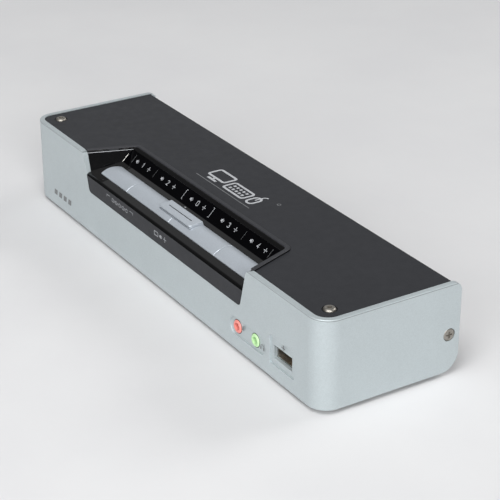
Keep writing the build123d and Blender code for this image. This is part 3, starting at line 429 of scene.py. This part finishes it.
def mesh_piece(name, points, faces, slot, body="root"):
    mesh = bpy.data.meshes.new(name)
    mesh.from_pydata([tuple(p) for p in points], [], faces)
    mesh.validate()
    piece = bpy.data.objects.new(name, mesh)
    bpy.context.scene.collection.objects.link(piece)
    mesh.materials.append(LOOKS[slot])
    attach(piece, body)


def digit(mark, name, x, y, size=1.0):
    wide, high = DIGIT_HALF[0] * size, DIGIT_HALF[1] * size
    shapes = {
        "0": rounded_box(-wide, -high, wide, high, wide * 0.55),
        "1": [(-wide * 0.6, high * 0.62), (wide * 0.15, high), (wide * 0.15, -high)],
        "2": arc((0, high * 0.5), (wide, high * 0.5), 170, -30) + [(-wide, -high), (wide, -high)],
        "3": arc((0, high * 0.52), (wide * 0.92, high * 0.48), 160, -80)
             + arc((0, -high * 0.48), (wide, high * 0.52), 80, -165),
        "4": [(wide, -high * 0.42), (-wide, -high * 0.42), (wide * 0.35, high), (wide * 0.35, -high)],
    }
    points = [(x + u, y + v) for u, v in shapes[name]]
    mark.stroke(points, DIGIT_STROKE * size, closed=name == "0")


def sound_mark(mark, x, y, high):
    cone = [(-0.5, -0.24), (-0.2, -0.24), (0.12, -0.52), (0.12, 0.52), (-0.2, 0.24), (-0.5, 0.24)]
    mark.fill([(x + u * high, y + v * high) for u, v in cone])
    mark.stroke(arc((x + 0.02 * high, y), 0.42 * high, -48, 48, 6), 0.15 * high)


def hub_mark(mark, x, y, high):
    """A hub with four arms."""
    half, end = 0.5 * high, 0.11 * high
    mark.stroke([(x - half, y), (x + half, y)], 0.15 * high)
    for side in (1, -1):
        mark.stroke([(x, y + side * 0.08 * high), (x, y + side * half)], 0.15 * high)
        for u, v in ((side * half, 0), (0, side * half)):
            mark.fill(rounded_box(x + u - end, y + v - end, x + u + end, y + v + end, end / 2, 2))
    mark.dot(x, y, 0.17 * high)


def screen_mark(mark, left, low, right, high, width):
    middle, stand = (left + right) / 2, (high - low) * 0.24
    mark.stroke(rounded_box(left, low + stand, right, high, width), width, closed=True)
    mark.stroke([(middle, low + stand - width * 0.4), (middle, low + width * 0.4)], width * 1.3)
    mark.stroke([(middle - (right - left) * 0.26, low), (middle + (right - left) * 0.26, low)], width)


def bracket(mark, x, low, high, tick):
    mark.stroke([(x + tick, high), (x, high), (x, low), (x + tick, low)], 0.26)


window_low, window_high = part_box("display_window")
foot = Vector((0, window_low.y, window_low.z + WINDOW_THICKNESS * math.cos(WINDOW_TILT)))
slope = Vector((0, math.cos(WINDOW_TILT), math.sin(WINDOW_TILT)))
window = plane(foot, (1, 0, 0), slope)
deck_slope = Vector((0, math.cos(DECK_TILT), math.sin(DECK_TILT)))
deck = plane(foot - slope * FIT, (1, 0, 0), deck_slope)
cover = plane((0, 0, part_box("top_cover")[1].z), (1, 0, 0), (0, 1, 0))
front = plane((0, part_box("front_shell")[0].y, 0), (1, 0, 0), (0, 0, 1))
lip = plane((0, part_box("front_lip")[0].y, 0), (1, 0, 0), (0, 0, 1))
back = plane((0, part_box("rear_panel")[1].y, 0), (-1, 0, 0), (0, 0, 1))

for name, x in LEGEND_PLACES:
    mark = Print(window)
    digit(mark, name, x, LEGEND_ROW)
    sound_mark(mark, x + SOUND_SHIFT, LEGEND_ROW, SOUND_HIGH)
    hub_mark(mark, x + HUB_SHIFT, LEGEND_ROW, HUB_HIGH)
    mark.piece("window_legend_" + name, "white_ink")

marks = Print(window)
for x, width in DIVIDERS:
    marks.stroke([(x, DIVIDER_LOW), (x, DIVIDER_HIGH)], width)
marks.piece("window_dividers", "grey_ink")
marks = Print(window)
for side in (-1, 1):
    bracket(marks, side * BRACKET_HALF, BRACKET_LOW, BRACKET_HIGH, -side * 0.8)
marks.piece("window_brackets", "white_ink")

marks = Print(deck)
marks.fill(rounded_box(-6.1, -0.95, -4.6, -0.45, 0.2))
marks.piece("deck_tick", "white_ink")

# lip: a scan mark between two brackets, and a mark for the mode key
marks = Print(lip)
for x, inward in SCAN_BRACKETS:
    marks.stroke([(x + inward * 3.2, LIP_ROW + 1.1), (x, LIP_ROW + 1.1), (x, LIP_ROW)], 0.24)
for i in range(SCAN_BOXES):
    x = SCAN_FIRST + SCAN_PITCH * i
    box = rounded_box(x - 0.75, LIP_ROW - 0.85, x + 0.75, LIP_ROW + 0.85, 0.3)
    marks.stroke(box, 0.22, closed=True)
    if i < SCAN_BOXES - 1:
        arrow = [(x + 1.5, LIP_ROW + 0.55), (x + 2.05, LIP_ROW), (x + 1.5, LIP_ROW - 0.55)]
        marks.stroke(arrow, 0.22)
marks.piece("lip_scan_mark", "white_ink")
marks = Print(lip)
screen = rounded_box(-4.4, LIP_MODE_ROW - 1.0, -0.9, LIP_MODE_ROW + 1.0, 0.35)
marks.stroke(screen, 0.34, closed=True)
sound_mark(marks, 1.7, LIP_MODE_ROW, 2.2)
hub_mark(marks, 5.6, LIP_MODE_ROW, 2.2)
marks.piece("lip_mode_mark", "white_ink")

# front sockets: a microphone, headphones and a hub
marks = Print(front)
marks.fill(rounded_box(MIC_MARK_X - 0.5, 14.5, MIC_MARK_X + 0.5, 16.3, 0.48))
marks.stroke(arc((MIC_MARK_X, 15.4), 1.05, 200, 340, 8), 0.26)
marks.stroke([(MIC_MARK_X, 14.35), (MIC_MARK_X, 13.6)], 0.26)
marks.stroke(arc(PHONES_MARK, 1.25, 0, 180, 10), 0.28)
for side in (-1, 1):
    x = PHONES_MARK[0] + 1.15 * side
    marks.fill(rounded_box(x - 0.36, 11.9, x + 0.36, 13.3, 0.2))
hub_mark(marks, *FRONT_HUB_MARK, 2.3)
marks.piece("socket_marks", "grey_ink")

# painted shadow: black rings on the recess's floor around the two front audio sockets, standing in
# for the shade in the gap round each nose
marks = Print(plane((0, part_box("front_shell")[0].y + RECESS_DEPTH, 0), (1, 0, 0), (0, 0, 1)))
for node in ("front_mic_jack", "front_headphone_jack"):
    low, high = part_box(node)
    place = ((low.x + high.x) / 2 / MM, (low.z + high.z) / 2 / MM)
    marks.stroke(arc(place, NOSE_RADIUS + 0.16, 0, 351, 39), 0.34, closed=True)
marks.piece("front_jack_painted_shadow", "black_plastic")

# front face: four slanted bars
marks = Print(front)
for i in range(FRONT_BARS):
    left = FRONT_BAR_FIRST + FRONT_BAR_PITCH * i
    right = left + FRONT_BAR_WIDTH
    marks.fill([(left, FRONT_BAR_LOW), (right, FRONT_BAR_LOW),
                (right + FRONT_BAR_LEAN, FRONT_BAR_HIGH), (left + FRONT_BAR_LEAN, FRONT_BAR_HIGH)])
marks.piece("front_bars_mark", "grey_ink")

# cover: a screen, a keyboard and a mouse, over a fine rule
marks = Print(cover)
screen_mark(marks, -22.0, COVER_MARK_LOW, -7.6, 11.7, 1.35)
marks.stroke(rounded_box(-4.6, COVER_MARK_LOW, 12.4, COVER_MARK_HIGH, 1.5), 1.25, closed=True)
for row in range(2):
    for column in range(5):
        x, y = -1.5 + COVER_KEY_PITCH * column, 4.1 + COVER_KEY_PITCH * row
        marks.fill(rounded_box(x - COVER_KEY_HALF, y - COVER_KEY_HALF,
                               x + COVER_KEY_HALF, y + COVER_KEY_HALF, 0.25, 2))
marks.stroke(rounded_box(15.2, COVER_MARK_LOW, 19.8, COVER_MARK_HIGH, 2.2), 1.2, closed=True)
marks.stroke([(17.5, 8.6), (17.5, 6.1)], 0.9)
marks.stroke(arc((19.6, 9.9), (2.1, 2.5), 180, 90, 8), 0.8)
marks.piece("cover_graphic", "silver_ink")
marks = Print(cover)
marks.stroke([(-25.0, -1.0), (23.5, -1.0)], 0.42)
marks.stroke(arc((27.7, 13.0), 0.85, 0, 342, 19), 0.4)
marks.piece("cover_rule", "grey_ink")

# rear panel: computer numbers over the DVI sockets
for number, place in enumerate(PORT_GROUPS, 1):
    mark = Print(back)
    digit(mark, str(number), -place, REAR_NUMBER_Z, REAR_NUMBER_SIZE)
    mark.piece("rear_number_%d" % number, "white_ink")


# ---------------------------------------------------------------- small parts

def bar(name, start, end, out, width, height, slot):
    """A straight strip with a rounded top and closed ends, standing out of a surface."""
    start, end, out = Vector(start), Vector(end), Vector(out).normalized()
    side = out.cross((end - start).normalized())
    turns = [math.pi * i / BAR_STEPS for i in range(BAR_STEPS + 1)]
    crown = [(math.cos(turn) * width / 2, math.sin(turn) * height) for turn in turns]
    section = [(width / 2, -BAR_SUNK)] + crown + [(-width / 2, -BAR_SUNK)]
    points = [p + side * u + out * v for p in (start, end) for u, v in section]
    n = len(section)
    faces = [[i, i + 1, n + i + 1, n + i] for i in range(n - 1)] + [[n - 1, 0, n, 2 * n - 1]]
    faces += [list(reversed(range(n))), list(range(n, 2 * n))]
    mesh_piece(name, points, faces, slot)


window_normal = Vector((0, -math.sin(WINDOW_TILT), math.cos(WINDOW_TILT)))
# painted highlight: a metal strip along each end of the window, standing in for the highlight on the
# window's chamfered end edges
for name, x in (("left", window_low.x), ("right", window_high.x)):
    at = Vector((x, foot.y, foot.z))
    bar("window_end_highlight_" + name, at, at + slope * (WINDOW_LENGTH + HIGHLIGHT_PAST), window_normal,
        0.55 * MM, 0.22 * MM, "socket_metal")


def usb_contacts(name, low, high, mouth, inwards, shell_floor):
    """Gilt contacts under a USB-A socket's tongue, and sprung tabs on its shell's floor.

    low and high are the tongue's corners, mouth is the socket's y and inwards its sign.
    """
    middle = (low.x + high.x) / 2
    for i, shift in enumerate(CONTACT_SHIFTS, 1):
        x = middle + shift
        bar("%s_contact_%d" % (name, i), (x, low.y + 0.6 * MM, low.z),
            (x, high.y - 0.8 * MM, low.z), (0, 0, -1), 1.0 * MM, 0.16 * MM, "gold_contact")
    y = mouth + inwards * SPRING_SET_BACK
    for i, shift in enumerate(SPRING_SHIFTS, 1):
        x = middle + shift
        bar("%s_spring_%d" % (name, i), (x, y, shell_floor),
            (x, y + inwards * SPRING_LENGTH, shell_floor), (0, 0, 1), 1.7 * MM, 0.3 * MM,
            "socket_metal")


shell_low, shell_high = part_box("front_usb_shell")
usb_contacts("front_usb", *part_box("front_usb_tongue"), shell_low.y, 1, shell_low.z + USB_FLOOR)
tongue_low, tongue_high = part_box("console_usb_tongues")
shell_low, shell_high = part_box("console_usb_shells")
for number, place in enumerate(CONSOLE_USB, 1):
    low = Vector((place * MM - TONGUE_HALF, tongue_low.y, tongue_low.z))
    high = Vector((place * MM + TONGUE_HALF, tongue_high.y, tongue_high.z))
    usb_contacts("console_usb_%d" % number, low, high, shell_high.y, -1, shell_low.z + USB_FLOOR)


def end_wall(side, y):
    """A point of the line along the top of the channel's leaning end wall, y in mm."""
    x = CHANNEL_HALF + (CHANNEL_BACK_Y - y) * FLARE + (HIGHLIGHT_Z - CHANNEL_TOP_Z) * DRAFT
    return Vector((side * (x - HIGHLIGHT_INWARDS), y, HIGHLIGHT_Z)) * MM


# painted highlight: a bright strip along the upper edge of each end wall
for name, side in (("left", -1), ("right", 1)):
    bar("end_wall_highlight_" + name, end_wall(side, HIGHLIGHT_BACK_Y), end_wall(side, HIGHLIGHT_FRONT_Y),
        (-side, -side * FLARE, DRAFT), 0.32 * MM, 0.14 * MM, "silver_ink")

# the mode key: a black sheet in its groove as painted shade, a pale dot, and a black strip under its
# top plate as painted shadow
mode_fall = math.atan((MODE_BACK_RISE - MODE_FRONT_RISE) / (MODE_BACK - MODE_FRONT))
mode_tilt = DECK_TILT + mode_fall
deck_out = Vector((0, -math.sin(DECK_TILT), math.cos(DECK_TILT)))


def over_deck(along, rise):
    """A point over the deck's middle line, in mm from its front edge and square off it."""
    return deck @ (Vector((MODE_CENTRE, along - DECK_LENGTH, rise)) * MM)


groove_along = (MODE_FRONT + MODE_BACK) / 2
groove_rise = (MODE_FRONT_RISE + MODE_BACK_RISE) / 2
groove_half = GROOVE_LENGTH / 2 - 0.03
mode_slope = (0, math.cos(mode_tilt), math.sin(mode_tilt))
# painted shade: a black sheet over the groove's floor
groove_floor = over_deck(groove_along, groove_rise - GROOVE_DEPTH)
mark = Print(plane(groove_floor, (1, 0, 0), mode_slope), 0.06)
mark.fill(rounded_box(-groove_half, -0.27, groove_half, 0.27, 0.05, 2))
mark.piece("mode_key_groove_shade", "black_plastic", "mode_key")
mark = Print(plane(over_deck(groove_along, groove_rise), (1, 0, 0), mode_slope), 0.04)
mark.dot(groove_half + 1.1, 0.0, 0.42)
mark.piece("mode_key_dot", "white_ink", "mode_key")
slot_rise = MODE_FRONT_RISE - MODE_SKIN - MODE_SLOT / 2
# painted shadow: a black strip in the slot under the top plate
mark = Print(plane(over_deck(MODE_FRONT + MODE_LIP, slot_rise), (1, 0, 0), deck_out), 0.28)
line_half, slot_half = MODE_LENGTH / 2 - MODE_CORNER, MODE_SLOT / 2 - 0.01
mark.fill(rounded_box(-line_half, -slot_half, line_half, slot_half, 0.05, 2))
mark.piece("mode_key_shadow_line", "black_plastic", "mode_key")


# ---------------------------------------------------------------- studio

def area_lamp(name, place, aim, size, power):
    light = bpy.data.lights.new(name, "AREA")
    light.shape, light.size, light.energy = "DISK", size, power
    lamp = bpy.data.objects.new(name, light)
    bpy.context.scene.collection.objects.link(lamp)
    lamp.location = place
    lamp.rotation_euler = (Vector(aim) - Vector(place)).to_track_quat("-Z", "Y").to_euler()


def studio_floor():
    half = FLOOR_SIDE / 2
    corners = [(-half, -half, 0), (half, -half, 0), (half, half, 0), (-half, half, 0)]
    mesh = bpy.data.meshes.new("floor")
    mesh.from_pydata(corners, [], [(0, 1, 2, 3)])
    floor = bpy.data.objects.new("floor", mesh)
    bpy.context.scene.collection.objects.link(floor)
    look = Look("floor")
    clouds = look.spread(look.noise(9.0, 5.0), 0, 1)
    paper = look.mix(clouds, (0.66, 0.66, 0.67), (0.70, 0.70, 0.705))
    rough = look.spread(look.noise(300.0), 0.75, 0.85)
    mesh.materials.append(look.finish(paper, rough, look.bump(look.noise(900.0), 0.05 * MM, 0.3)))


def studio_world():
    """A plain soft room: dim, paler overhead, at the horizon and to the back left."""
    world = bpy.data.worlds.new("studio")
    world.use_nodes = True
    bpy.context.scene.world = world
    tree = world.node_tree
    sky = tree.nodes["Background"]
    way = tree.nodes.new("ShaderNodeTexCoord").outputs["Generated"]

    def lobe(direction, start, end, low, high):
        dot = tree.nodes.new("ShaderNodeVectorMath")
        dot.operation = "DOT_PRODUCT"
        dot.inputs[1].default_value = Vector(direction).normalized()
        tree.links.new(way, dot.inputs[0])
        reach = tree.nodes.new("ShaderNodeMapRange")
        reach.interpolation_type = "SMOOTHSTEP"
        sizes = {"From Min": start, "From Max": end, "To Min": low, "To Max": high}
        for key, value in sizes.items():
            reach.inputs[key].default_value = value
        tree.links.new(dot.outputs["Value"], reach.inputs["Value"])
        return reach.outputs["Result"]

    def add(first, second):
        total = tree.nodes.new("ShaderNodeMath")
        tree.links.new(first, total.inputs[0])
        tree.links.new(second, total.inputs[1])
        return total.outputs["Value"]

    overhead = lobe((0, 0, 1), 0.0, 0.9, 0.06, 0.17)
    horizon = lobe((0, 0, 1), 0.03, 0.22, 0.14, 0.0)
    back_left = lobe((-0.83, 0.42, 0.36), 0.86, 1.0, 0.0, 0.45)
    tree.links.new(add(add(overhead, horizon), back_left), sky.inputs["Strength"])
    sky.inputs["Color"].default_value = (0.97, 0.985, 1.0, 1.0)


studio_world()
studio_floor()
area_lamp("overhead", (0.56, -0.80, 2.08), (0, 0, 0), 1.44, 27.0)
area_lamp("front_fill", (0.90, -1.60, 0.80), (0, 0, 0.02), 1.2, 19.0)
area_lamp("right_fill", (3.00, -1.00, 1.40), (0, 0, 0.02), 1.6, 61.0)
area_lamp("back_fill", (0.30, 3.20, 2.20), (0, 1.50, 0), 1.6, 45.0)

camera_data = bpy.data.cameras.new("camera")
camera_data.sensor_width = 36.0
camera_data.lens = 115.3
camera = bpy.data.objects.new("camera", camera_data)
bpy.context.scene.collection.objects.link(camera)
camera.location = (0.5983, -0.3603, 0.3561)
camera_aim = Vector((-0.7606, 0.4762, -0.4412))
camera.rotation_euler = camera_aim.to_track_quat("-Z", "Y").to_euler()
bpy.context.scene.camera = camera
bpy.context.scene.view_settings.view_transform = "Standard"
